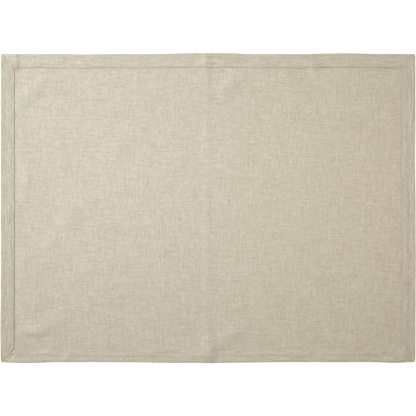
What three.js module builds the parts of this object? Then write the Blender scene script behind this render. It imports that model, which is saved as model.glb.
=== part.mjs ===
// A placemat of natural linen, lying flat with its turned hem upwards.
// Millimetres: +X along the long side, +Y towards the far edge, +Z up.
// The origin is on the table, under the middle of the cloth.

import * as THREE from 'three';

// Finished size between the outer folds of the hems, before the edges bow
const clothLength = 479.8;
const clothDepth = 356.8;

// One layer of the cloth, the two layers along the outer fold of the hem, and the three layers
// along its inner edge, where the raw edge is turned under
const clothThickness = 1.0;
const foldThickness = 1.6;
const hemThickness = 1.85;

// Width of the hem on each side, and of the strip with three layers
const hemWidth = { left: 15.6, right: 15.3, near: 14.7, far: 16.1 };
const turnedUnder = 7.3;

// Points across the upper side of the hem: distance back from its inner edge, and height.
// The cloth eases down over the raw edge, and the inner edge is a soft fold.
const hemSteps = [
  { back: turnedUnder + 1, height: foldThickness },
  { back: turnedUnder - 1, height: hemThickness },
  { back: 0.45, height: hemThickness },
  { back: 0.1, height: 1.5 },
];

// Outer corners, and the groove of the mitre, where two hems meet
const cornerRadius = 2.3;
const mitreHalfWidth = 0.6;
const mitreDepth = 0.4;
const cornerPoints = 5;

// The outer fold of the hem is half round: this many steps from its middle to the top or the underside
const rimSteps = 2;

// Where an edge leaves its straight line: place along the edge, reach each way, and distance outwards
const edgeBows = [
  { side: 'far', at: -2, reach: 62, out: 1.15 },
  { side: 'far', at: 158, reach: 46, out: 0.8 },
  { side: 'far', at: -143, reach: 26, out: -0.5 },
  { side: 'near', at: -10, reach: 112, out: 1.02 },
  { side: 'near', at: -210, reach: 42, out: 1.0 },
  { side: 'near', at: 215, reach: 27, out: 0.75 },
  { side: 'left', at: -142, reach: 72, out: 0.5 },
  { side: 'right', at: -60, reach: 110, out: 0.5 },
  { side: 'right', at: 56, reach: 34, out: -0.5 },
];

// The same for the inner edge of a hem
const hemBows = [
  { side: 'near', at: -60, reach: 180, out: 1.9 },
  { side: 'near', at: -225, reach: 62, out: -1.9 },
  { side: 'near', at: 225, reach: 70, out: -2.2 },
];

// Soft ridges left by folding and handling. Each is a long oval swelling between two ends.
// Looking from its first end to the second, offWidth is its half width on the left where that is
// different.
const ridges = [
  { name: 'centre fold', x1: -1, y1: -480, x2: -1, y2: 480, halfWidth: 7, height: 0.38 },
  { name: 'fold at the far hem', x1: -1, y1: 196, x2: -3, y2: 146, halfWidth: 10, height: 1.6 },
  { name: 'fold at the near hem', x1: -9, y1: -158, x2: 4, y2: -184, halfWidth: 14, height: 2.2 },
  { name: 'fold above the near hem', x1: 8, y1: -185, x2: -5, y2: -130, halfWidth: 10, height: 1.8 },
  { name: 'pucker by the near hem', x1: -32, y1: -177, x2: 61, y2: -130, halfWidth: 12, height: 1.0 },
  {
    name: 'pucker under the far hem',
    x1: 42, y1: 152, x2: 5, y2: 133, halfWidth: 11, offWidth: 20, height: 1.7,
  },
  { name: 'far left corner', x1: -236, y1: 101, x2: -175, y2: 165, halfWidth: 13, height: 1.65 },
  { name: 'left side', x1: -206, y1: 56, x2: -216, y2: -3, halfWidth: 8.2, height: 1.2 },
  { name: 'left hem', x1: -248, y1: -18, x2: -205, y2: 14, halfWidth: 13, height: 1.3 },
  { name: 'near left corner', x1: -218, y1: -152, x2: -152, y2: -116, halfWidth: 14, height: 1.0 },
  {
    name: 'beside the near left corner',
    x1: -224, y1: -141, x2: -178, y2: -145, halfWidth: 9.3, height: 1.8,
  },
];

// Lines of points across the cloth inside the hems, closer together where the ridges are
const columnSpans = [
  { to: -168, steps: 7 },
  { to: -12, steps: 8 },
  { to: 12, steps: 6 },
  { to: 40, steps: 4 },
  { to: clothLength / 2 - hemWidth.right, steps: 9 },
];
const rowSpans = [
  { to: -118, steps: 6 },
  { to: -20, steps: 5 },
  { to: 64, steps: 9 },
  { to: 116, steps: 3 },
  { to: clothDepth / 2 - hemWidth.far, steps: 6 },
];

const halfLength = clothLength / 2;
const halfDepth = clothDepth / 2;
const rimRadius = foldThickness / 2;

// 1 in the middle of a swelling, falling smoothly to 0 at distance 1
function hump(distance) {
  return distance < 1 ? (1 - distance ** 2) ** 2 : 0;
}

function bow(table, side, along) {
  return table
    .filter((row) => row.side === side)
    .reduce((sum, row) => sum + row.out * hump(Math.abs(along - row.at) / row.reach), 0);
}

// How far a point near one side moves outwards. An edge's bow fades out towards the middle of the
// cloth, and a hem's bow fades out on both sides of its inner edge.
function outwards(side, along, inFromEdge, halfSize) {
  const edge = bow(edgeBows, side, along) * (1 - inFromEdge / halfSize) ** 2;
  const hem = bow(hemBows, side, along) * hump(Math.abs(inFromEdge / hemWidth[side] - 1));
  return edge + hem;
}

// Moves a point of the straight-edged rectangle to its place inside the bowed outline
function outlined(x, y) {
  const outX = outwards(x > 0 ? 'right' : 'left', y, halfLength - Math.abs(x), halfLength);
  const outY = outwards(y > 0 ? 'far' : 'near', x, halfDepth - Math.abs(y), halfDepth);
  return [x + Math.sign(x) * outX, y + Math.sign(y) * outY];
}

// How far the ridges raise the cloth off the table
function lift(x, y) {
  const heights = ridges.map((ridge) => {
    const runX = ridge.x2 - ridge.x1;
    const runY = ridge.y2 - ridge.y1;
    const run = Math.hypot(runX, runY);
    const fromX = x - (ridge.x1 + ridge.x2) / 2;
    const fromY = y - (ridge.y1 + ridge.y2) / 2;
    const along = (fromX * runX + fromY * runY) / run;
    const across = (fromX * runY - fromY * runX) / run;
    const width = across > 0 ? ridge.halfWidth : ridge.offWidth ?? ridge.halfWidth;
    return ridge.height * hump(Math.hypot(along / (run / 2), across / width));
  });
  return Math.hypot(...heights);
}

// The places of the lines between two hems, ends included
function linePlaces(start, spans) {
  const places = [start];
  for (const span of spans) {
    const from = places.at(-1);
    for (let step = 1; step <= span.steps; step += 1) {
      places.push(from + ((span.to - from) * step) / span.steps);
    }
  }
  return places;
}

const columns = linePlaces(-halfLength + hemWidth.left, columnSpans);
const rows = linePlaces(-halfDepth + hemWidth.near, rowSpans);

const positions = [];
const triangles = [];

function addPoint(x, y, height) {
  const [placeX, placeY] = outlined(x, y);
  positions.push(placeX, placeY, height + lift(placeX, placeY));
  return positions.length / 3 - 1;
}

function addTriangle(a, b, c, faceUp) {
  if (a === b || b === c || c === a) return;
  triangles.push(...(faceUp ? [a, b, c] : [a, c, b]));
}

function addQuad(a, b, c, d, faceUp) {
  addTriangle(a, b, c, faceUp);
  addTriangle(a, c, d, faceUp);
}

// The points round one corner, from one side to the next. Near the rim they lie on an arc,
// and further in on a square corner with the mitre at its middle point.
function cornerPlaces(signX, signY, backX, backY) {
  const startsLevel = signX !== signY;
  const places = [];
  for (let point = 0; point < cornerPoints; point += 1) {
    const turn = (2 * point) / (cornerPoints - 1) - 1;
    const level = startsLevel ? -turn : turn;
    const mitre = turn === 0;
    if (backX < cornerRadius) {
      const angle = ((1 - level) * Math.PI) / 4;
      const radius = cornerRadius - backX;
      const x = signX * (halfLength - cornerRadius + radius * Math.sin(angle));
      const y = signY * (halfDepth - cornerRadius + radius * Math.cos(angle));
      places.push({ x, y, mitre });
    } else {
      const x = signX * (halfLength - backX - Math.max(level, 0) * 2 * mitreHalfWidth);
      const y = signY * (halfDepth - backY - Math.max(-level, 0) * 2 * mitreHalfWidth);
      places.push({ x, y, mitre });
    }
  }
  return places;
}

// A closed ring of points at given distances in from the four sides, counter-clockwise from above
function addRing(back, height, groove) {
  const innerColumns = columns.slice(1, -1);
  const innerRows = rows.slice(1, -1);
  const places = [
    ...innerColumns.map((x) => ({ x, y: -halfDepth + back.near })),
    ...cornerPlaces(1, -1, back.right, back.near),
    ...innerRows.map((y) => ({ x: halfLength - back.right, y })),
    ...cornerPlaces(1, 1, back.right, back.far),
    ...innerColumns.toReversed().map((x) => ({ x, y: halfDepth - back.far })),
    ...cornerPlaces(-1, 1, back.left, back.far),
    ...innerRows.toReversed().map((y) => ({ x: -halfLength + back.left, y })),
    ...cornerPlaces(-1, -1, back.left, back.near),
  ];
  return places.map(({ x, y, mitre }) => addPoint(x, y, mitre ? height - groove : height));
}

// The grid of points inside the hems, and the ring of its border with each corner point repeated
function addGrid(height, faceUp) {
  const grid = rows.map((y) => columns.map((x) => addPoint(x, y, height)));
  for (let row = 1; row < rows.length; row += 1) {
    for (let column = 1; column < columns.length; column += 1) {
      const [a, b] = [grid[row - 1][column - 1], grid[row - 1][column]];
      const [c, d] = [grid[row][column], grid[row][column - 1]];
      addQuad(a, b, c, d, faceUp);
    }
  }
  const lastRow = grid.length - 1;
  const lastColumn = columns.length - 1;
  const corner = (index) => Array(cornerPoints).fill(index);
  return [
    ...grid[0].slice(1, -1),
    ...corner(grid[0][lastColumn]),
    ...grid.slice(1, -1).map((line) => line[lastColumn]),
    ...corner(grid[lastRow][lastColumn]),
    ...grid[lastRow].slice(1, -1).toReversed(),
    ...corner(grid[lastRow][0]),
    ...grid.slice(1, -1).toReversed().map((line) => line[0]),
    ...corner(grid[0][0]),
  ];
}

// Bands of faces from each ring to the next one inwards
function addBands(rings, faceUp) {
  for (let ring = 1; ring < rings.length; ring += 1) {
    const [outer, inner] = [rings[ring - 1], rings[ring]];
    outer.forEach((point, index) => {
      const next = (index + 1) % outer.length;
      addQuad(point, outer[next], inner[next], inner[index], faceUp);
    });
  }
}

function equalBack(distance) {
  return { left: distance, right: distance, near: distance, far: distance };
}

function backFromInnerEdge(distance) {
  return {
    left: hemWidth.left - distance,
    right: hemWidth.right - distance,
    near: hemWidth.near - distance,
    far: hemWidth.far - distance,
  };
}

// One ring of the half-round outer fold, above or below its middle
function addRimRing(step, faceUp) {
  const angle = (step / rimSteps) * (Math.PI / 2);
  const back = equalBack(rimRadius * (1 - Math.cos(angle)));
  const rise = rimRadius * Math.sin(angle);
  const groove = faceUp ? (mitreDepth * step) / rimSteps : 0;
  return addRing(back, faceUp ? rimRadius + rise : rimRadius - rise, groove);
}

function buildCloth() {
  const rim = addRimRing(0, true);
  const upper = [rim];
  const lower = [rim];
  for (let step = 1; step <= rimSteps; step += 1) {
    upper.push(addRimRing(step, true));
    lower.push(addRimRing(step, false));
  }
  for (const { back, height } of hemSteps) {
    upper.push(addRing(backFromInnerEdge(back), height, mitreDepth));
  }
  upper.push(addGrid(clothThickness, true));
  lower.push(addGrid(0, false));
  addBands(upper, true);
  addBands(lower, false);

  const geometry = new THREE.BufferGeometry();
  geometry.setAttribute('position', new THREE.Float32BufferAttribute(positions, 3));
  geometry.setIndex(triangles);
  geometry.computeVertexNormals();
  const linen = new THREE.MeshStandardMaterial({ color: 0xcbc4b2, roughness: 0.9, metalness: 0 });
  const cloth = new THREE.Mesh(geometry, linen);
  cloth.name = 'cloth';
  return cloth;
}

const placemat = new THREE.Group();
placemat.add(buildCloth());

export default placemat;
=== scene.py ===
# A placemat of natural linen, seen from straight above on a white table
import math

import bpy
import numpy as np
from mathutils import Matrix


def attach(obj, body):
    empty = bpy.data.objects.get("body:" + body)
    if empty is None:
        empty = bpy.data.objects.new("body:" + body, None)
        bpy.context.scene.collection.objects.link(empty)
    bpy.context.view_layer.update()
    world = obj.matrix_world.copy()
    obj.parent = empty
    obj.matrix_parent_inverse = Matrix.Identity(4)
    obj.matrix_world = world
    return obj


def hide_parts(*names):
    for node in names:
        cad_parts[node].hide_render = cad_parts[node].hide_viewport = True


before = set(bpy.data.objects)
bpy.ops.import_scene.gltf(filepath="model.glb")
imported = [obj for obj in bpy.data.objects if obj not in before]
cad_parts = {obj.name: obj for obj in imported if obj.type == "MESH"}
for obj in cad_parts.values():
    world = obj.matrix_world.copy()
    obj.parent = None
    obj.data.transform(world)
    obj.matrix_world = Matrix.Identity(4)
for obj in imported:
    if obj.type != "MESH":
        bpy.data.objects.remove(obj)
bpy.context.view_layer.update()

mm = 0.001

# The cloth's shape, in millimetres until it becomes a mesh

cloth = {
    "length": 479.8,            # between the outer folds of the hems, before the edges bow
    "depth": 356.8,
    "thickness": 1.0,           # one layer
    "foldThickness": 1.6,       # two layers, along the outer fold of the hem
    "hemWidth": {"left": 15.6, "right": 15.3, "near": 14.7, "far": 16.1},
    "cornerRadius": 2.3,
    "cornerSteps": [0, 0.15, 0.4, 0.8, 1.3, 1.8, 2.3, 3.0],     # places near a corner, on its sides
    "columns": 391,             # places between the corner steps, along the length
    "rows": 287,
    "rimSteps": 5,              # from the middle of the outer fold to its top
    "coarseFrom": 3.8,          # inside the hem's edge, where the mesh gets coarser
    "undersideRings": [1.9, 3.8, 7.4],      # in from the outer fold, each coarser than the last
    "mitreWidth": 0.65,
    "mitreDepth": {"near left": 1.3, "near right": 0.4, "far left": 0.45, "far right": 0.1},
    "mitreFrom": 1.04,          # the height where a mitre begins,
    "mitreRise": 0.6,           # and how much higher it is at its full depth
    "mitreShift": 1.3,          # how far the near left one lies inside the near hem's end
    "mitreNose": 0.35,          # the left hem's end stands up beside the near left one,
    "noseBeside": 1.0,          # this far from it
    "noseWidth": 0.55,
    "creaseDip": {"left": 0.05, "right": 0.38, "near": 0.22, "far": 0.0},   # beside the inner edge
    "noseRise": {"left": 0.14, "right": 0.0, "near": 0.0, "far": 0.21},     # of the fold at that edge
    "edgeWander": 0.06,         # how far the outer folds stray from a true line
    "edgeWaves": (18, 70),      # shortest and longest wave of that
    "hemWander": 0.07,          # and the inner edges of the hems
    "hemWaves": (12, 60),
    "ripple": 0.05,             # faint waves that pressing leaves
    "rippleWaves": (22, 75),
    "rippleCount": 14,
    "sharpFrom": 55,            # degrees between faces that keep an edge
    "seed": 31,
}

# Where an edge leaves its straight line: place along the edge, reach each way, distance outwards
edgeBows = [
    dict(side="far", at=-2, reach=62, out=1.15),
    dict(side="far", at=158, reach=46, out=0.8),
    dict(side="far", at=-143, reach=26, out=-0.5),
    dict(side="near", at=-10, reach=112, out=1.02),
    dict(side="near", at=-210, reach=42, out=1.0),
    dict(side="near", at=215, reach=27, out=0.75),
    dict(side="left", at=-142, reach=72, out=0.5),
    dict(side="right", at=-60, reach=110, out=0.5),
    dict(side="right", at=56, reach=34, out=-0.5),
]

# The same for the hem's inner edge
hemBows = [
    dict(side="near", at=-60, reach=180, out=1.9),
    dict(side="near", at=-225, reach=62, out=-1.9),
    dict(side="near", at=225, reach=70, out=-2.2),
]

# Soft ridges left by folding and handling, each a long oval swelling between two ends. Looking
# from its first end to the second, offWidth is its half width on the left where that is different.
ridges = [
    dict(name="centre fold", x1=-1, y1=-480, x2=-1, y2=480, halfWidth=7, height=0.38),
    dict(name="fold at the far hem", x1=-1, y1=196, x2=-3, y2=146, halfWidth=10, height=1.6),
    dict(name="fold at the near hem", x1=-9, y1=-158, x2=4, y2=-184, halfWidth=14, height=2.2),
    dict(name="fold above the near hem", x1=8, y1=-185, x2=-5, y2=-130, halfWidth=10, height=1.8),
    dict(name="pucker by the near hem", x1=-32, y1=-177, x2=61, y2=-130, halfWidth=12, height=1.0),
    dict(name="pucker at the far hem", x1=42, y1=152, x2=5, y2=133, halfWidth=11, offWidth=20, height=1.7),
    dict(name="far left corner", x1=-236, y1=101, x2=-175, y2=165, halfWidth=13, height=1.65),
    dict(name="left side", x1=-206, y1=56, x2=-216, y2=-3, halfWidth=8.2, height=1.2),
    dict(name="left hem", x1=-248, y1=-18, x2=-205, y2=14, halfWidth=13, height=1.3),
    dict(name="near left corner", x1=-218, y1=-152, x2=-152, y2=-116, halfWidth=14, height=1.0),
    dict(name="beside the near left corner", x1=-224, y1=-141, x2=-178, y2=-145, halfWidth=9.3, height=1.8),
]

# Fainter ones. Below 0 is a shallow trough in the upper side.
faintRidges = [
    dict(name="far hem's end", x1=-221, y1=188, x2=-221.4, y2=150, halfWidth=14, offWidth=3.1, height=1.35),
    dict(name="dip beside it", x1=-218.2, y1=184, x2=-218.5, y2=163.5, halfWidth=3.3, height=-0.48),
    dict(name="left of the mitre", x1=-231, y1=162, x2=-223.5, y2=162, halfWidth=1.6, height=-0.4),
    dict(name="far hem, on the left", x1=-178, y1=177, x2=-170, y2=161, halfWidth=15, height=0.8),
    dict(name="far hem, right of the middle", x1=62, y1=180, x2=63, y2=158, halfWidth=15, height=1.0),
    dict(name="slant in the far hem", x1=114, y1=175, x2=130, y2=152, halfWidth=9.6, height=0.8),
    dict(name="far hem, on the right", x1=160, y1=177, x2=158, y2=150, halfWidth=11, height=0.4),
    dict(name="near hem, right of the middle", x1=103, y1=-163, x2=100, y2=-180, halfWidth=15, height=0.9),
    dict(name="near hem, on the right", x1=150, y1=-163, x2=149, y2=-181, halfWidth=15, height=0.9),
    dict(name="near hem, left of the middle", x1=-67, y1=-158, x2=-63, y2=-176, halfWidth=13.8, height=1.0),
    dict(name="near hem, on the left", x1=-158, y1=-163, x2=-167, y2=-182, halfWidth=7, height=0.95),
    dict(name="near right hem corner", x1=206, y1=-180, x2=241, y2=-161.5, halfWidth=9.7, height=0.65),
    dict(name="near right corner", x1=184, y1=-159, x2=223, y2=-138.5, halfWidth=6.5, height=-0.35),
    dict(name="near hem's edge, right", x1=198, y1=-160.4, x2=223, y2=-160.8, halfWidth=1.7, height=-0.4),
    dict(name="near left mitre", x1=-234.1, y1=-178.9, x2=-220.6, y2=-165.4, halfWidth=1.9, height=-0.8),
    dict(name="left hem's edge", x1=-223.2, y1=-118, x2=-223.2, y2=-168, halfWidth=1.5, height=-0.45),
    dict(name="far hem's edge, left", x1=-230, y1=161.2, x2=-206, y2=161.2, halfWidth=1.5, height=-0.45),
    dict(name="far hem's edge, slant", x1=82, y1=161.2, x2=122, y2=161.2, halfWidth=1.5, height=-0.5),
    dict(name="far hem's edge, right", x1=194, y1=161.2, x2=229, y2=161.2, halfWidth=1.5, height=-0.4),
    dict(name="left hem, near the corner", x1=-234, y1=-142, x2=-221, y2=-131, halfWidth=9.8, height=0.5),
    dict(name="long slant on the left", x1=-108, y1=54, x2=-205, y2=-78, halfWidth=16, height=0.58),
]

# Rings across the upper side of the hem. A place is measured in from the outer fold where it says
# outer, and back from the hem's inner edge where it says inner. The cloth eases down over the raw
# edge, dips at the row of stitches and ends in a soft fold that overhangs a little. Rise and dip say
# how much of noseRise and creaseDip a ring takes.
hemProfile = [
    dict(outer=1.7, height=1.64), dict(outer=3.4, height=1.58), dict(outer=5.3, height=1.54),
    dict(inner=8.7, height=1.53), dict(inner=8.0, height=1.55), dict(inner=7.3, height=1.62),
    dict(inner=6.6, height=1.71), dict(inner=5.8, height=1.8), dict(inner=4.6, height=1.86),
    dict(inner=3.2, height=1.83), dict(inner=2.3, height=1.77), dict(inner=1.75, height=1.71),
    dict(inner=1.5, height=1.68), dict(inner=1.25, height=1.72, rise=0.3),
    dict(inner=0.95, height=1.81, rise=0.7), dict(inner=0.55, height=1.86, rise=1.0),
    dict(inner=0.24, height=1.84, rise=1.0), dict(inner=0.06, height=1.74, rise=1.0),
    dict(inner=0.0, height=1.5), dict(inner=0.07, height=1.2), dict(inner=0.3, height=1.04),
]
besideHem = [
    dict(inner=0.05, height=0.98, dip=1.0), dict(inner=-0.15, height=0.98, dip=0.95),
    dict(inner=-0.5, height=0.99, dip=0.25), dict(inner=-1.1, height=1.0, dip=0.0),
]

sides = ["near", "right", "far", "left"]
halfLength = cloth["length"] / 2
halfDepth = cloth["depth"] / 2
halfSize = {"near": halfDepth, "right": halfLength, "far": halfDepth, "left": halfLength}
rimRadius = cloth["foldThickness"] / 2
chance = np.random.default_rng(cloth["seed"])


# A smooth random line, mostly between -1 and 1
def wanderingLine(shortest, longest, count=5):
    lengths = chance.uniform(shortest, longest, count)
    phases = chance.uniform(0, 2 * math.pi, count)
    return lambda along: sum(np.sin(2 * math.pi * along / length + phase)
                             for length, phase in zip(lengths, phases)) / count ** 0.5


edgeLines = {side: wanderingLine(*cloth["edgeWaves"]) for side in sides}
hemLines = {side: wanderingLine(*cloth["hemWaves"]) for side in sides}
waves = [dict(turn=chance.uniform(0, math.pi), size=chance.uniform(*cloth["rippleWaves"]),
              phase=chance.uniform(0, 7))
         for _ in range(cloth["rippleCount"])]


# 1 in the middle of a swelling, falling smoothly to 0 at distance 1
def hump(distance):
    return np.clip(1 - distance ** 2, 0, None) ** 2


# How far a side's outer fold and its hem's inner edge lie outside their straight lines
def bow(side, along, inFromEdge):
    def bows(table):
        return sum(row["out"] * hump((along - row["at"]) / row["reach"])
                   for row in table if row["side"] == side)

    edge = bows(edgeBows) + cloth["edgeWander"] * edgeLines[side](along)
    edge = edge * (1 - inFromEdge / halfSize[side]) ** 2
    hem = bows(hemBows) + cloth["hemWander"] * hemLines[side](along)
    return edge + hem * hump(inFromEdge / cloth["hemWidth"][side] - 1)


# Moves a point of the straight-edged rectangle to its place inside the bowed outline
def outlined(x, y):
    inX, inY = halfLength - abs(x), halfDepth - abs(y)
    outX = np.where(x > 0, bow("right", y, inX), -bow("left", y, inX))
    outY = np.where(y > 0, bow("far", x, inY), -bow("near", x, inY))
    return x + outX, y + outY


# How far the ridges raise the cloth off the table
def lift(x, y):
    squares = troughs = 0
    for ridge in ridges + faintRidges:
        runX, runY = ridge["x2"] - ridge["x1"], ridge["y2"] - ridge["y1"]
        run = math.hypot(runX, runY)
        fromX, fromY = x - (ridge["x1"] + ridge["x2"]) / 2, y - (ridge["y1"] + ridge["y2"]) / 2
        along = (fromX * runX + fromY * runY) / run
        across = (fromX * runY - fromY * runX) / run
        width = np.where(across > 0, ridge["halfWidth"], ridge.get("offWidth", ridge["halfWidth"]))
        rise = ridge["height"] * hump(np.hypot(2 * along / run, across / width))
        squares = squares + np.maximum(rise, 0) ** 2
        troughs = troughs + np.minimum(rise, 0)
    return np.sqrt(squares) + troughs


def ripple(x, y):
    lines = []
    for wave in waves:
        along = x * math.cos(wave["turn"]) + y * math.sin(wave["turn"])
        lines.append(np.sin(2 * math.pi * along / wave["size"] + wave["phase"]))
    return cloth["ripple"] * sum(lines) / len(lines) ** 0.5


# The final place of a point that lies at a height over the flat table
def laid(x, y, height):
    placeX, placeY = outlined(x, y)
    rise = lift(placeX, placeY) + ripple(placeX, placeY) * np.minimum(height / cloth["thickness"], 1)
    rise = np.where(height < rimRadius, np.maximum(rise, 0), rise)      # the underside stays on the table
    return np.stack([placeX, placeY, height + rise], axis=-1)


# Distances in from the four sides for one ring
def sideDistances(place):
    if "outer" in place:
        return {side: place["outer"] for side in sides}
    return {side: cloth["hemWidth"][side] - place["inner"] for side in sides}


# Places along one side, closer together at its corners
def placesAlong(start, end, count):
    corner = np.array(cloth["cornerSteps"])
    middle = np.linspace(start + corner[-1], end - corner[-1], count)[1:-1]
    return np.concatenate([start + corner, middle, (end - corner)[::-1]])


def mitreDepths(x, y):
    depth = cloth["mitreDepth"]
    near = np.where(x < 0, depth["near left"], depth["near right"])
    far = np.where(x < 0, depth["far left"], depth["far right"])
    return np.where(y < 0, near, far)


# The points, the faces, and each face's place on the flat cut cloth, which the weave follows
class Fabric:
    def __init__(self):
        self.points = np.zeros((0, 3))
        self.flat = np.zeros((0, 2))
        self.faces = []
        self.faceFlat = []

    def addPoints(self, x, y, height):
        first = len(self.points)
        self.points = np.concatenate([self.points, laid(x, y, height).reshape(-1, 3)])
        self.flat = np.concatenate([self.flat, np.stack([x, y], axis=-1).reshape(-1, 2)])
        return first + np.arange(np.size(x)).reshape(np.shape(x))

    # hemSide says for each face which side's hem it is on: there the cloth is folded over
    def addFaces(self, faces, faceUp, hemSide=None):
        ordered = faces if faceUp else faces[:, ::-1]
        flat = self.flat[ordered]
        if hemSide is not None:
            outline = np.array([[0, -halfDepth], [halfLength, 0], [0, halfDepth], [-halfLength, 0]])
            turned = np.array([[1, -1], [-1, 1], [1, -1], [-1, 1]])
            flat = flat * turned[hemSide][:, None] + 2 * outline[hemSide][:, None]
        self.faces += ordered.tolist()
        self.faceFlat.append(flat.reshape(-1, 2))

    # A ring of points round the cloth, counter-clockwise from above; skip leaves out places
    def addRing(self, back, height, skip=1, dip=0.0, rise=0.0):
        x = placesAlong(-halfLength + back["left"], halfLength - back["right"], cloth["columns"])[::skip]
        y = placesAlong(-halfDepth + back["near"], halfDepth - back["far"], cloth["rows"])[::skip]
        ringX = np.concatenate([x[:-1], np.full(len(y) - 1, x[-1]), x[:0:-1], np.full(len(y) - 1, x[0])])
        ringY = np.concatenate([np.full(len(x) - 1, y[0]), y[:-1], np.full(len(x) - 1, y[-1]), y[:0:-1]])
        fromCornerX = np.where(ringX > 0, x[-1] - ringX, ringX - x[0])
        fromCornerY = np.where(ringY > 0, y[-1] - ringY, ringY - y[0])
        onHem = np.clip((height - cloth["mitreFrom"]) / cloth["mitreRise"], 0, 1)
        nearLeft = (ringX < 0) & (ringY < 0)
        fromMitre = fromCornerX - fromCornerY - nearLeft * cloth["mitreShift"]
        mitre = onHem * mitreDepths(ringX, ringY) * np.exp(-(fromMitre / cloth["mitreWidth"]) ** 2)
        nose = (onHem * nearLeft * cloth["mitreNose"]
                * np.exp(-((fromMitre + cloth["noseBeside"]) / cloth["noseWidth"]) ** 2))
        heights = height - mitre + nose
        for share, table in ((-dip, cloth["creaseDip"]), (rise, cloth["noseRise"])):
            if share:
                heights = heights + share * np.array([table[side] for side in sides])[segmentSide]
        radius = cloth["cornerRadius"] - back["near"]
        if radius > 0:
            turning = (fromCornerX < radius) & (fromCornerY < radius)
            angle = math.pi / 4 * (1 + (fromCornerX - fromCornerY) / radius)
            arcX = np.sign(ringX) * (x[-1] - radius + radius * np.cos(angle))
            arcY = np.sign(ringY) * (y[-1] - radius + radius * np.sin(angle))
            ringX, ringY = np.where(turning, arcX, ringX), np.where(turning, arcY, ringY)
        return self.addPoints(ringX, ringY, heights)

    def addBand(self, outer, inner, faceUp=True, onHem=False):
        quads = np.stack([outer, np.roll(outer, -1), np.roll(inner, -1), inner], axis=-1)
        self.addFaces(quads, faceUp, segmentSide if onHem else None)

    # Joins a ring to one with half as many points
    def addHalvingBand(self, outer, inner, faceUp=True):
        first, middle, last = outer[0::2], outer[1::2], np.roll(outer[0::2], -1)
        here, ahead = inner, np.roll(inner, -1)
        for corners in ([first, middle, here], [middle, last, ahead], [middle, ahead, here]):
            self.addFaces(np.stack(corners, axis=-1), faceUp)

    # Fills the inside of a ring with a grid
    def fill(self, ring, back, height, skip, faceUp=True):
        x = placesAlong(-halfLength + back["left"], halfLength - back["right"], cloth["columns"])[::skip]
        y = placesAlong(-halfDepth + back["near"], halfDepth - back["far"], cloth["rows"])[::skip]
        along, up = len(x) - 1, len(y) - 1
        grid = np.zeros((len(y), len(x)), int)
        grid[0, :-1] = ring[:along]
        grid[:-1, -1] = ring[along:along + up]
        grid[-1, :0:-1] = ring[along + up:2 * along + up]
        grid[:0:-1, 0] = ring[2 * along + up:]
        insideX, insideY = np.meshgrid(x[1:-1], y[1:-1])
        grid[1:-1, 1:-1] = self.addPoints(insideX, insideY, np.full(insideX.shape, float(height)))
        quads = np.stack([grid[:-1, :-1], grid[:-1, 1:], grid[1:, 1:], grid[1:, :-1]], axis=-1)
        self.addFaces(quads.reshape(-1, 4), faceUp)

    def makePiece(self, name):
        mesh = bpy.data.meshes.new(name)
        mesh.from_pydata((self.points * mm).tolist(), [], self.faces)
        flat = mesh.uv_layers.new(name="cutCloth")
        flat.data.foreach_set("uv", (np.concatenate(self.faceFlat) * mm).ravel())
        mesh.shade_smooth()
        mesh.set_sharp_from_angle(angle=math.radians(cloth["sharpFrom"]))
        piece = bpy.data.objects.new(name, mesh)
        bpy.context.scene.collection.objects.link(piece)
        return piece


columnSteps = cloth["columns"] + 2 * len(cloth["cornerSteps"]) - 3
rowSteps = cloth["rows"] + 2 * len(cloth["cornerSteps"]) - 3
segmentSide = np.repeat([0, 1, 2, 3], [columnSteps, rowSteps, columnSteps, rowSteps])


def makeLinenCloth():
    fabric = Fabric()

    def rimRing(step):
        angle = step / cloth["rimSteps"] * math.pi / 2
        back = sideDistances({"outer": rimRadius * (1 - math.cos(angle))})
        return fabric.addRing(back, rimRadius * (1 + math.sin(angle)))

    rim = rimRing(0)
    upper = [rim] + [rimRing(step + 1) for step in range(cloth["rimSteps"])]
    upper += [fabric.addRing(sideDistances(place), place["height"], rise=place.get("rise", 0.0))
              for place in hemProfile]
    for outer, inner in zip(upper, upper[1:]):
        fabric.addBand(outer, inner, onHem=True)

    # One layer inside the hem, from the crease under its edge
    middle = [upper[-1]] + [fabric.addRing(sideDistances(place), place["height"], dip=place["dip"])
                            for place in besideHem]
    for outer, inner in zip(middle, middle[1:]):
        fabric.addBand(outer, inner)
    back = sideDistances({"inner": -cloth["coarseFrom"]})
    coarse = fabric.addRing(back, cloth["thickness"], skip=2)
    fabric.addHalvingBand(middle[-1], coarse)
    fabric.fill(coarse, back, cloth["thickness"], skip=2)

    # The underside, on the table
    lower = [rim] + [rimRing(-step - 1) for step in range(cloth["rimSteps"])]
    fine, half, quarter = cloth["undersideRings"]
    lower.append(fabric.addRing(sideDistances({"outer": fine}), 0))
    for outer, inner in zip(lower, lower[1:]):
        fabric.addBand(outer, inner, faceUp=False)
    coarse = fabric.addRing(sideDistances({"outer": half}), 0, skip=2)
    fabric.addHalvingBand(lower[-1], coarse, faceUp=False)
    back = sideDistances({"outer": quarter})
    coarsest = fabric.addRing(back, 0, skip=4)
    fabric.addHalvingBand(coarse, coarsest, faceUp=False)
    fabric.fill(coarsest, back, 0, skip=4, faceUp=False)
    return fabric.makePiece("linenCloth")


linenCloth = makeLinenCloth()
print("linen cloth:", len(linenCloth.data.polygons), "faces")

# The row of topstitching, which shows on both sides of the cloth

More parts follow.
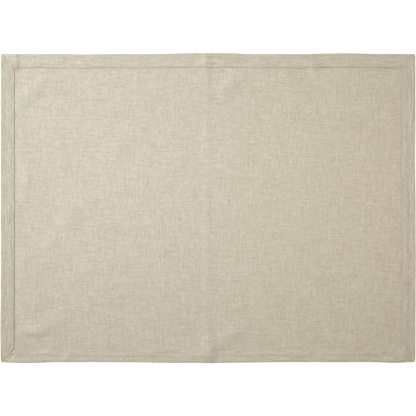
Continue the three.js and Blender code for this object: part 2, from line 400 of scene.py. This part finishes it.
topstitch = {
    "fromInnerEdge": 1.5,
    "pitch": 2.9,               # from stitch to stitch
    "length": 2.45,             # of thread that shows
    "thickness": 0.34,
    "arch": 0.1,                # how far its middle stands over its ends
    "taper": 0.72,              # how much thinner it is at its ends
    "plies": 2,
    "plyDepth": 0.16,
    "plyTwist": 5.5,
    "flatness": 0.85,
    "endGap": 14.6,             # from the cloth's outer fold to the end of a row
    "upper": dict(round=10, along=8, height=1.7, stretch=1),
    "lower": dict(round=6, along=4, height=0.02, stretch=-0.25),
    "straying": 0.04,
    "turning": 0.03,
    "uneven": 0.02,             # from one stitch's length to the next
    "seed": 7,
}


# One stitch along X about the origin: a twisted thread, closed at both ends
def stitchShape(spokes, sections):
    points, faces = [], []
    for section in range(sections + 1):
        t = 2 * section / sections - 1
        size = topstitch["thickness"] / 2 * (1 - topstitch["taper"] * abs(t) ** 5)
        rise = topstitch["arch"] * (1 - t ** 4)
        for spoke in range(spokes):
            angle = 2 * math.pi * spoke / spokes
            twisted = topstitch["plies"] * angle - topstitch["plyTwist"] * t
            ply = 1 + topstitch["plyDepth"] * math.cos(twisted)
            points.append([t * topstitch["length"] / 2, size * ply * math.cos(angle),
                           rise + size * ply * math.sin(angle) * topstitch["flatness"]])
    for section in range(sections):
        for spoke in range(spokes):
            a, b = section * spokes + spoke, section * spokes + (spoke + 1) % spokes
            faces.append([a, b, b + spokes, a + spokes])
    faces.append(list(range(spokes))[::-1])
    faces.append([sections * spokes + spoke for spoke in range(spokes)])
    return np.array(points), faces


def makeHemTopstitch():
    chance = np.random.default_rng(topstitch["seed"])
    points, faces = [], []
    inFrom = {side: cloth["hemWidth"][side] - topstitch["fromInnerEdge"] for side in sides}
    levelReach, uprightReach = halfLength - topstitch["endGap"], halfDepth - topstitch["endGap"]
    rows = [
        dict(level=True, across=-halfDepth + inFrom["near"], reach=levelReach),
        dict(level=False, across=halfLength - inFrom["right"], reach=uprightReach),
        dict(level=True, across=halfDepth - inFrom["far"], reach=levelReach),
        dict(level=False, across=-halfLength + inFrom["left"], reach=uprightReach),
    ]
    for face in ("upper", "lower"):
        look = topstitch[face]
        shape, shapeFaces = stitchShape(look["round"], look["along"])
        for row in rows:
            count = int(row["reach"] / topstitch["pitch"])
            mirrored = (not row["level"]) != (face == "lower")
            for number in range(-count, count + 1):
                turn = chance.normal(0, topstitch["turning"])
                shift = chance.normal(0, topstitch["straying"], 2)
                local = shape * [1 + chance.normal(0, topstitch["uneven"]), 1, look["stretch"]]
                along = local[:, 0] - local[:, 1] * turn + number * topstitch["pitch"] + shift[0]
                across = local[:, 1] + local[:, 0] * turn + row["across"] + shift[1]
                x, y = (along, across) if row["level"] else (across, along)
                placeX, placeY = outlined(x, y)
                waves = ripple(placeX, placeY) * min(look["height"] / cloth["thickness"], 1)
                rise = lift(placeX, placeY) + waves
                base = look["height"] + (rise if face == "upper" else np.maximum(rise, 0))
                start = sum(map(len, points))
                points.append(np.stack([placeX, placeY, base + local[:, 2]], axis=-1))
                for corners in shapeFaces:
                    faces.append([start + corner for corner in (corners[::-1] if mirrored else corners)])
    mesh = bpy.data.meshes.new("hemTopstitch")
    mesh.from_pydata((np.concatenate(points) * mm).tolist(), [], faces)
    mesh.shade_smooth()
    piece = bpy.data.objects.new("hemTopstitch", mesh)
    bpy.context.scene.collection.objects.link(piece)
    return piece


hemTopstitch = makeHemTopstitch()
print("topstitching:", len(hemTopstitch.data.polygons), "faces")

# Materials. A Wire wraps a socket. Sums on wires add Math nodes, and node adds any other node.
class Wire:
    def __init__(self, tree, socket=None):
        self.tree = tree
        self.socket = socket

    def node(self, kind, settings, inputs, output=0):
        made = self.tree.nodes.new(kind)
        for name, value in settings.items():
            setattr(made, name, value)
        for name, value in inputs.items():
            if isinstance(value, Wire):
                self.tree.links.new(value.socket, made.inputs[name])
            else:
                made.inputs[name].default_value = value
        return Wire(self.tree, made.outputs[output])

    def maths(self, operation, *values):
        return self.node("ShaderNodeMath", {"operation": operation}, dict(enumerate(values)))

    def __add__(self, other):
        return self.maths("ADD", self, other)

    def __sub__(self, other):
        return self.maths("SUBTRACT", self, other)

    def __rsub__(self, other):
        return self.maths("SUBTRACT", other, self)

    def __mul__(self, other):
        return self.maths("MULTIPLY", self, other)

    def __truediv__(self, other):
        return self.maths("DIVIDE", self, other)

    def __rtruediv__(self, other):
        return self.maths("DIVIDE", other, self)

    def __gt__(self, other):
        return self.maths("GREATER_THAN", self, other)

    __radd__ = __add__
    __rmul__ = __mul__

    def floor(self):
        return self.maths("FLOOR", self)

    def cos(self):
        return self.maths("COSINE", self)

    def size(self):
        return self.maths("ABSOLUTE", self)

    def smooth(self, low, high):
        return self.node("ShaderNodeMapRange", {"interpolation_type": "SMOOTHSTEP"},
                         {"Value": self, "From Min": low, "From Max": high})

    def mix(self, low, high):
        return low + (high - low) * self

    def vector(self, x, y, z=0.0):
        return self.node("ShaderNodeCombineXYZ", {}, {"X": x, "Y": y, "Z": z})

    # Noise about 0, mostly between -1 and 1; z picks a layer, so that no two are alike
    def noise(self, x, y, detail=2.0, roughness=0.6, z=0.0):
        fac = self.node("ShaderNodeTexNoise", {"noise_dimensions": "3D"},
                        {"Vector": self.vector(x, y, z), "Scale": 1.0, "Detail": detail,
                         "Roughness": roughness})
        return (fac - 0.5) * 4


def newMaterial(name):
    material = bpy.data.materials.new(name)
    material.use_nodes = True
    shader = material.node_tree.nodes["Principled BSDF"]
    return material, shader, Wire(material.node_tree)


def connect(wires, shader, links):
    for name, wire in links.items():
        wires.tree.links.new(wire.socket, shader.inputs[name])


linen = {
    "pale": (0.753, 0.7236, 0.596, 1),
    "dark": (0.388, 0.3125, 0.219, 1),
    "tint": (0.016, 0.0, 0.010),    # how far patches of yarn lean towards pink or green
    "tintSize": 11,             # mm across such a patch
    "uprightPitch": 0.74,       # mm from yarn to yarn
    "levelPitch": 0.78,
    "straying": 1.1,            # yarns' widths that a yarn strays
    "strayAcross": 35,          # mm from one stray to the next, from yarn to yarn
    "strayAlong": 60,           # and along a yarn
    "wave": 0.09,               # mm that a yarn rises and falls as it crosses the others
    "yarnHeight": 0.12,
    "crossing": 0.02,           # mm of height over which the upper yarn hides the lower
    "rounding": 0.03,
    "slubHeight": 0.03,
    "slubLength": 13,           # mm that a thick or thin place runs along a yarn
    "slubStep": 9.73,           # through the noise from yarn to yarn, so that neighbours differ
    "toneSpread": 0.445,        # from yarn to yarn
    "toneLength": 20,           # mm that a pale or dark place runs along a yarn
    "toneStep": 7.31,
    "knotSpread": 0.2,          # from place to place along a yarn
    "knotLength": 4.5,
    "knotStep": 5.17,
    "patches": 0.45,            # how far one set of yarns stands out, patch by patch
    "patchSize": 14,
    "hemStreaks": {"near": 0.55, "right": 0.6, "far": 0.4, "left": 0.8},    # and the yarns along a hem
    "flecks": 0.45,             # how dark the specks of flax straw are
    "fleckFrom": (0.75, 1.3),
    # Painted light and shade: each side's hem is painted lighter or darker for how the light falls on it,
    # lightest on the near side and darkest on the left
    "hemSidePaintedLight": {"near": 0.035, "right": -0.005, "far": -0.035, "left": -0.115},
    # Painted shade: a darker band along the outer fold, where the cloth rounds down, darkest on the near
    # and right sides
    "foldPaintedShade": {"near": -0.08, "right": -0.06, "far": -0.01, "left": -0.05},   # along the outer fold
    "foldReach": (1.2, 3.0),
    "fibreSize": 0.22,
    "fibreHeight": 0.012,
    "roughness": 0.88,
    "roughSpread": 0.03,
    "specular": 0.25,
    "sheen": 0.12,
    "sheenRoughness": 0.6,
}


def makeLinen():
    material, shader, wires = newMaterial("naturalLinen")
    uv = wires.node("ShaderNodeUVMap", {"uv_map": "cutCloth"}, {})
    across = wires.node("ShaderNodeSeparateXYZ", {}, {"Vector": uv}, "X") * 1000
    up = wires.node("ShaderNodeSeparateXYZ", {}, {"Vector": uv}, "Y") * 1000

    # The yarns wander a little, so none is quite straight
    long, short = linen["strayAlong"], linen["strayAcross"]
    strayAcross = wires.noise(across / long, up / short, 3.0)
    strayUp = wires.noise(across / short, up / long, 3.0, z=40.0)
    a = across / linen["uprightPitch"] + strayAcross * linen["straying"]
    b = up / linen["levelPitch"] + strayUp * linen["straying"]
    uprightYarn, levelYarn = a.floor(), b.floor()
    fromUpright, fromLevel = a - uprightYarn - 0.5, b - levelYarn - 0.5

    # Thick and thin places along each yarn, and pale and dark ones
    step, length = linen["slubStep"], linen["slubLength"]
    uprightSlub = wires.noise(uprightYarn * step, up / length, 3.0, 0.55)
    levelSlub = wires.noise(across / length, levelYarn * step, 3.0, 0.55, z=11.0)
    step, length = linen["toneStep"], linen["toneLength"]
    uprightTone = wires.noise(uprightYarn * step, up / length, 4.0, 0.75, z=23.0)
    levelTone = wires.noise(across / length, levelYarn * step, 4.0, 0.75, z=37.0)

    # Plain weave: each yarn goes over one and under the next
    uprightSign = (uprightYarn * math.pi).cos()
    levelSign = (levelYarn * math.pi).cos()
    uprightHeight = (uprightSign * ((b - 0.5) * math.pi).cos() * linen["wave"]
                     + (1 - fromUpright * fromUpright * 4) * linen["yarnHeight"]
                     + uprightSlub * linen["slubHeight"])
    levelHeight = (levelSign * ((a - 0.5) * math.pi).cos() * -linen["wave"]
                   + (1 - fromLevel * fromLevel * 4) * linen["yarnHeight"]
                   + levelSlub * linen["slubHeight"])
    uprightOver = (uprightHeight - levelHeight).smooth(-linen["crossing"], linen["crossing"])
    surface = wires.maths("SMOOTH_MAX", uprightHeight, levelHeight, linen["rounding"])

    # Beyond the outline the cloth is turned over into a hem
    hems = {"near": up * -1 > halfDepth, "right": across > halfLength,
            "far": up > halfDepth, "left": across * -1 > halfLength}
    upright = {"near": -1, "right": 1, "far": -1, "left": 1}    # 1 where upright yarns run along it
    hemStreaks = sum(hems[side] * (upright[side] * linen["hemStreaks"][side]) for side in sides)
    size = linen["patchSize"]
    patch = wires.noise(across / size, up / size, 2.0, 0.6, z=83.0) * linen["patches"] + hemStreaks
    tone = uprightOver.mix(levelTone * (1 - patch), uprightTone * (1 + patch))
    step, length = linen["knotStep"], linen["knotLength"]
    uprightKnot = wires.noise(uprightYarn * step, up / length, 2.0, 0.6, z=51.0)
    levelKnot = wires.noise(across / length, levelYarn * step, 2.0, 0.6, z=67.0)
    knot = uprightOver.mix(levelKnot, uprightKnot)

    fleck = (knot * -1).smooth(*linen["fleckFrom"])
    # Painted shade along the outer fold, and painted light and shade that differs from hem to hem
    fromFold = wires.maths("MAXIMUM", across.size() - halfLength, up.size() - halfDepth)
    onFold = 1 - fromFold.smooth(*linen["foldReach"])
    paintedHemLightAndShade = sum(hems[side] * (onFold * linen["foldPaintedShade"][side] + linen["hemSidePaintedLight"][side])
                   for side in sides)
    # The yarns' own tone and specks of flax straw, with the hems' painted light and shade added
    toneAndPaintedShade = (tone * linen["toneSpread"] + knot * linen["knotSpread"] - fleck * linen["flecks"]
             + paintedHemLightAndShade + 0.5)
    colour = wires.node("ShaderNodeMix", {"data_type": "RGBA"},
                        {0: toneAndPaintedShade, 6: linen["dark"], 7: linen["pale"]}, 2)
    size = linen["tintSize"]
    lean = wires.noise(across / size, up / size, 3.0, 0.6, z=97.0)
    tint = wires.vector(*[lean * part + 1 for part in linen["tint"]])
    colour = wires.node("ShaderNodeVectorMath", {"operation": "MULTIPLY"}, {0: colour, 1: tint})

    size = linen["fibreSize"]
    fibre = wires.noise(across / size, up / size, 2.0, 0.7, z=5.0)
    height = (surface + fibre * linen["fibreHeight"]) * mm
    bump = wires.node("ShaderNodeBump", {}, {"Strength": 1.0, "Distance": 1.0, "Height": height})
    rough = uprightOver.mix(levelSlub, uprightSlub) * linen["roughSpread"] + linen["roughness"]
    connect(wires, shader, {"Base Color": colour, "Roughness": rough, "Normal": bump})
    shader.inputs["Specular IOR Level"].default_value = linen["specular"]
    shader.inputs["Sheen Weight"].default_value = linen["sheen"]
    shader.inputs["Sheen Roughness"].default_value = linen["sheenRoughness"]
    return material


thread = {
    "dark": (0.50, 0.45, 0.352, 1),
    "pale": (0.70, 0.64, 0.515, 1),
    "grain": 900.0,             # to a metre
    "fuzz": 5000.0,
    "fuzzHeight": 0.03 * mm,
    "roughness": 0.78,
    "roughSpread": 0.1,
}


def makeThread():
    material, shader, wires = newMaterial("linenThread")
    place = wires.node("ShaderNodeTexCoord", {}, {}, "Object")
    grain = wires.node("ShaderNodeTexNoise", {},
                       {"Vector": place, "Scale": thread["grain"], "Detail": 3.0})
    colour = wires.node("ShaderNodeMix", {"data_type": "RGBA"},
                        {0: grain, 6: thread["dark"], 7: thread["pale"]}, 2)
    fuzz = wires.node("ShaderNodeTexNoise", {},
                      {"Vector": place, "Scale": thread["fuzz"], "Detail": 2.0})
    bump = wires.node("ShaderNodeBump", {},
                      {"Strength": 1.0, "Distance": 1.0, "Height": fuzz * thread["fuzzHeight"]})
    rough = grain * thread["roughSpread"] + thread["roughness"]
    connect(wires, shader, {"Base Color": colour, "Roughness": rough, "Normal": bump})
    return material


linenCloth.data.materials.append(makeLinen())
hemTopstitch.data.materials.append(makeThread())
print("materials: natural linen, linen thread")

# The pieces hang on the root body, and the cloth from model.glb is hidden
for piece in (linenCloth, hemTopstitch):
    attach(piece, "root")
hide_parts("cloth")

# White table, soft daylight from the far left, camera straight above
studio = {
    "tableSize": 8.0,
    "tableTop": -0.1 * mm,      # clear of the cloth's underside
    "tableColour": (0.15, 0.15, 0.15, 1),
    "tableGlow": 0.9,
    "key": dict(azimuth=145.4, elevation=46, distance=2.04, size=0.42, watts=37.0,
                colour=(0.943, 1.0, 1.097)),
    "overhead": dict(azimuth=159, elevation=60.6, distance=0.352, size=0.29, watts=0.367,
                     colour=(0.825, 1.0, 1.082)),
    "fill": dict(azimuth=6, elevation=62.2, distance=0.401, size=0.3, watts=0.377,
                 colour=(1.03, 1.0, 0.984)),
    "world": (0.192, 0.126, 0.070, 1),
    "sensorWidth": 36,
    "cameraHeight": 2.4,
    "cameraOffset": (0.0, -0.05 * mm),
    "framedWidth": 0.48198,     # metres that the picture is wide
}


def makeTable():
    half, top = studio["tableSize"] / 2, studio["tableTop"]
    mesh = bpy.data.meshes.new("whiteTable")
    corners = [(-half, -half, top), (half, -half, top), (half, half, top), (-half, half, top)]
    mesh.from_pydata(corners, [], [(0, 1, 2, 3)])
    table = bpy.data.objects.new("whiteTable", mesh)
    bpy.context.scene.collection.objects.link(table)
    material, shader, wires = newMaterial("whiteTable")
    shader.inputs["Base Color"].default_value = studio["tableColour"]
    shader.inputs["Emission Color"].default_value = (1, 1, 1, 1)
    shader.inputs["Emission Strength"].default_value = studio["tableGlow"]
    mesh.materials.append(material)


def makeLamp(name):
    look = studio[name]
    azimuth, elevation = math.radians(look["azimuth"]), math.radians(look["elevation"])
    lamp = bpy.data.lights.new(name, "AREA")
    lamp.size = look["size"]
    lamp.energy = look["watts"]
    lamp.color = look["colour"]
    place = bpy.data.objects.new(name, lamp)
    place.location = [look["distance"] * math.cos(azimuth) * math.cos(elevation),
                      look["distance"] * math.sin(azimuth) * math.cos(elevation),
                      look["distance"] * math.sin(elevation)]
    place.rotation_euler = place.location.to_track_quat("Z", "Y").to_euler()
    place.visible_camera = False
    bpy.context.scene.collection.objects.link(place)


def makeCamera():
    lens = bpy.data.cameras.new("camera")
    lens.sensor_width = studio["sensorWidth"]
    lens.lens = lens.sensor_width * studio["cameraHeight"] / studio["framedWidth"]
    camera = bpy.data.objects.new("camera", lens)
    camera.location = (*studio["cameraOffset"], studio["cameraHeight"])
    bpy.context.scene.collection.objects.link(camera)
    bpy.context.scene.camera = camera


makeTable()
for name in ("key", "overhead", "fill"):
    makeLamp(name)
makeCamera()
world = bpy.data.worlds.new("room")
world.use_nodes = True
world.node_tree.nodes["Background"].inputs["Color"].default_value = studio["world"]
bpy.context.scene.world = world
bpy.context.scene.view_settings.view_transform = "Standard"
print("table, lamps and camera")
